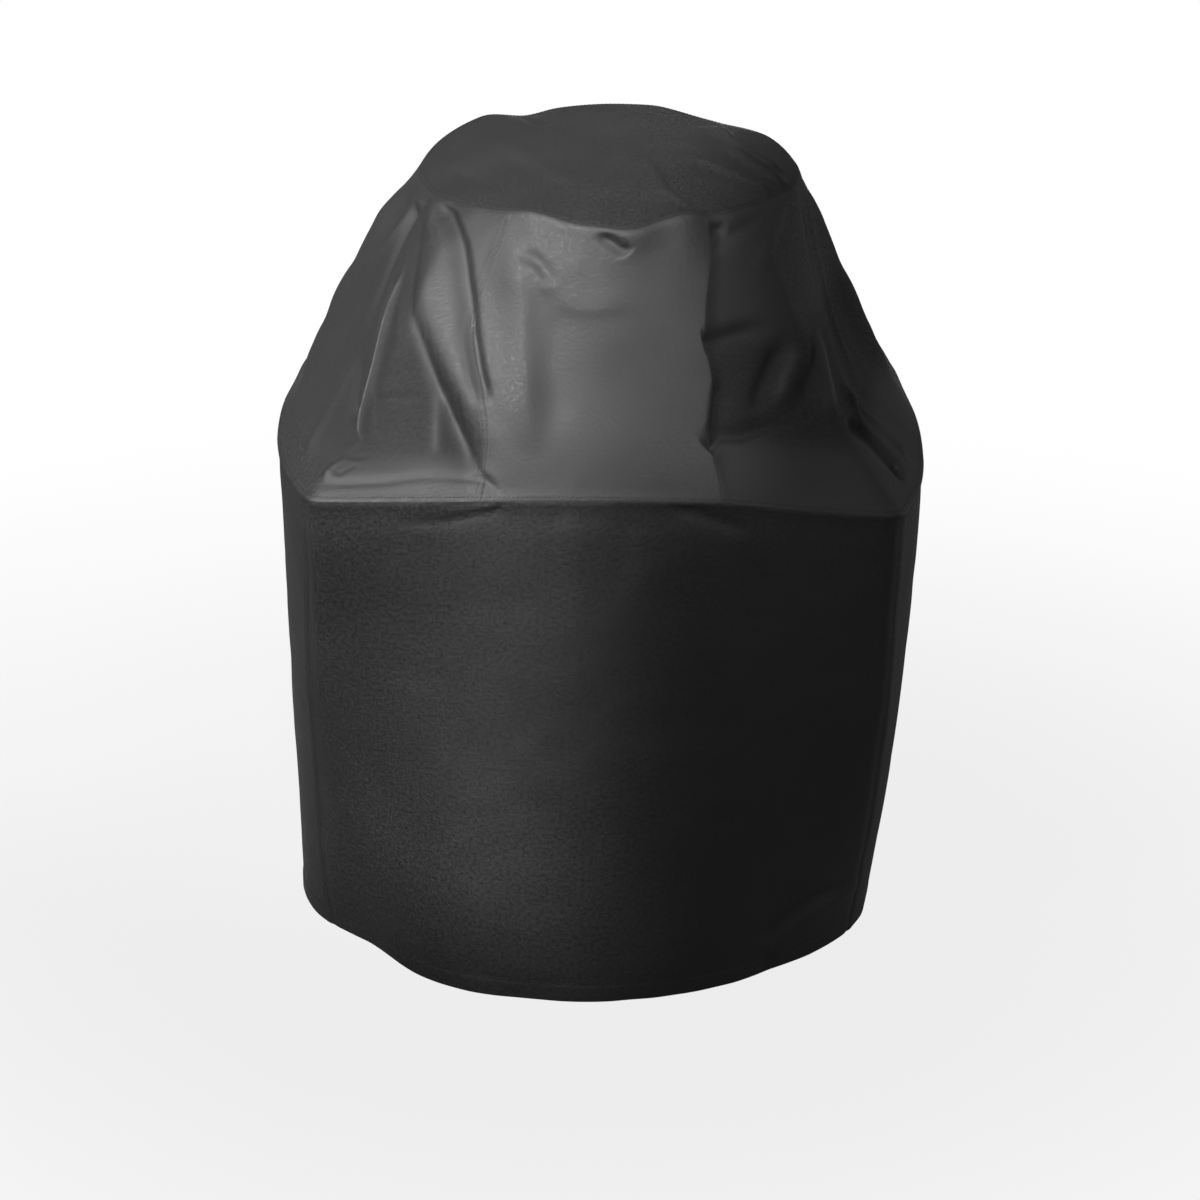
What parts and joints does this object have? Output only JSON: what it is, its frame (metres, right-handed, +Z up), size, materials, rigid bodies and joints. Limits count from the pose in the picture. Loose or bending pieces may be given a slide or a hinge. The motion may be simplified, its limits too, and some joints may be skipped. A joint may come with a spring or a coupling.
{
  "type": "grill cover",
  "caption": "Draped cloth cover for an upright barrel grill: round crown, sloping gores, boxy shoulder, tapering skirt with a turned hem, and hook-and-loop straps at the back corners.",
  "frame": {"origin": "middle of the hem, on the ground plane that the hem stands on", "axes": "+Z up, front towards -Y, +X to the viewer's right as the front is faced"},
  "size_m": [0.684, 0.6158, 0.849],
  "materials": {
    "cloth": "coated weave, slight sheen",
    "tape": "smooth binding tape",
    "webbing": "flat woven webbing",
    "patch": "matte hook and loop"
  },
  "bodies": {
    "cover": {"crown_panel": "cloth", "slope_front": "cloth", "slope_right": "cloth", "slope_back": "cloth", "slope_left": "cloth", "skirt_front": "cloth", "skirt_right": "cloth", "skirt_back": "cloth", "skirt_left": "cloth", "hem_band": "cloth", "crown_seam_tape": "tape", "shoulder_seam_tape": "tape", "slope_tape_front_right": "tape", "slope_tape_back_right": "tape", "slope_tape_back_left": "tape", "slope_tape_front_left": "tape", "skirt_tape_front_right": "tape", "skirt_tape_back_right": "tape", "skirt_tape_back_left": "tape", "skirt_tape_front_left": "tape", "strap_anchor_right": "webbing", "strap_anchor_left": "webbing", "loop_patch_right": "patch", "loop_patch_left": "patch"},
    "right_strap": {"strap_right": "webbing", "hook_patch_right": "patch"},
    "left_strap": {"strap_left": "webbing", "hook_patch_left": "patch"}
  },
  "joints": [
    {"name": "right_strap_peel", "type": "hinge", "parent": "cover", "child": "right_strap", "pos_m": [0.28775, 0.12896, 0.08205], "axis": [-0.1409, -0.0474, -0.9889], "range_deg": [0, 150]},
    {"name": "left_strap_peel", "type": "hinge", "parent": "cover", "child": "left_strap", "pos_m": [-0.31206, 0.12768, 0.08441], "axis": [-0.0498, 0.0324, 0.9982], "range_deg": [0, 150]}
  ]
}
